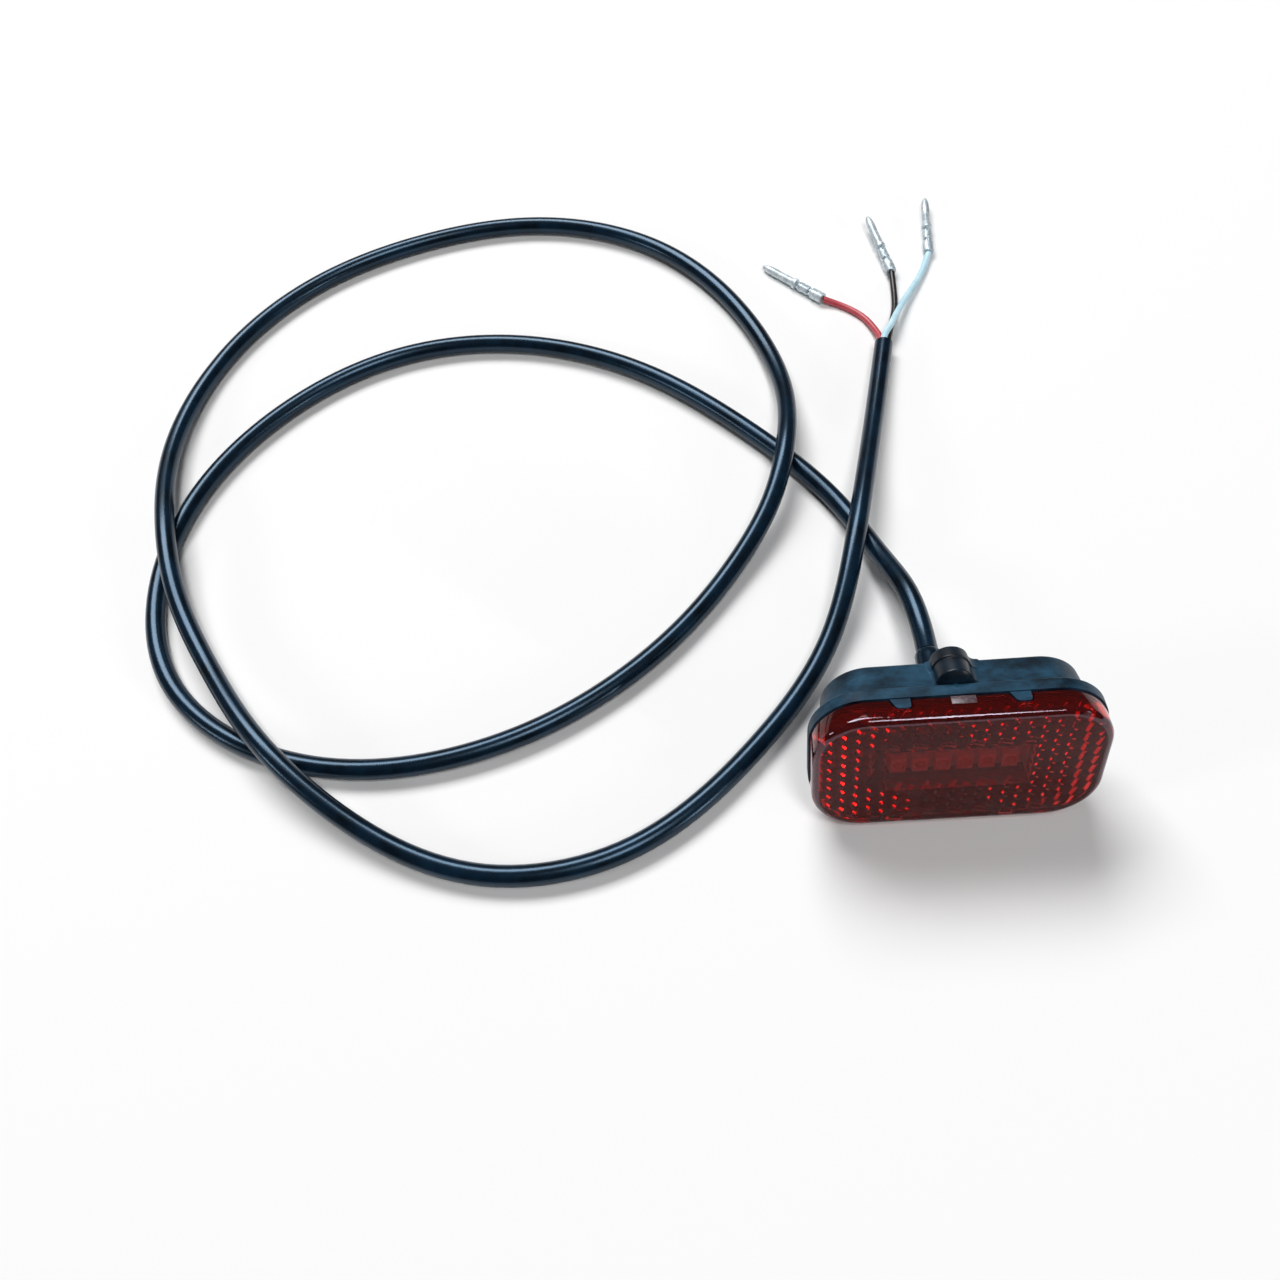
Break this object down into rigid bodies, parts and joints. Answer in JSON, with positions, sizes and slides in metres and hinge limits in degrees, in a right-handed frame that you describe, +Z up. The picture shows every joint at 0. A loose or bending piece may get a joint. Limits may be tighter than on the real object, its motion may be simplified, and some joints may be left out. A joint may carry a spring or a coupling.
{
  "type": "trailer tail light",
  "caption": "Rounded rectangular red tail lamp with a reflex prism lens on a snap-fit black housing, and a free three-core lead that ends in crimped pins.",
  "frame": {"origin": "on the surface the lamp lies on, under the middle of the lamp's own box, leaving out the lead and its boot", "axes": "+X along the lamp's long side, -Y the way the lens faces, +Z up from the surface; the lamp leans back on its lower rear edges"},
  "size_m": [0.1917, 0.1825, 0.0312],
  "materials": {
    "red_polycarbonate": "clear red, polished, prisms moulded inside",
    "black_abs": "moulded black, slight sheen",
    "black_pvc": "soft black jacket, satin",
    "black_rubber": "soft matt",
    "white_solder_mask": "white coated board",
    "led_package": "white reflector cup with pale yellow fill",
    "component_black": "black chip bodies",
    "brass": "turned",
    "zinc_plated_steel": "bright plated",
    "tinned_brass": "tinned, pressed",
    "red_core_pvc": "extruded",
    "black_core_pvc": "extruded",
    "white_core_pvc": "extruded, bluish white"
  },
  "bodies": {
    "root": {"back_housing": "black_abs", "board_screw_left": "zinc_plated_steel", "board_screw_right": "zinc_plated_steel", "circuit_board": "white_solder_mask", "conductor_black": "black_core_pvc", "conductor_red": "red_core_pvc", "conductor_white": "white_core_pvc", "cord_jacket": "black_pvc", "inner_shade": "black_abs", "insert_nut_left": "brass", "insert_nut_right": "brass", "lead_black": "black_core_pvc", "lead_red": "red_core_pvc", "lead_white": "white_core_pvc", "led_1": "led_package", "led_2": "led_package", "led_3": "led_package", "led_4": "led_package", "led_5": "led_package", "led_6": "led_package", "lens_cover": "red_polycarbonate", "lens_seal": "black_rubber", "pin_black": "tinned_brass", "pin_red": "tinned_brass", "pin_white": "tinned_brass", "rectifier": "component_black", "resistor_1": "component_black", "resistor_2": "component_black", "resistor_3": "component_black", "strain_relief": "black_pvc"}
  },
  "joints": []
}
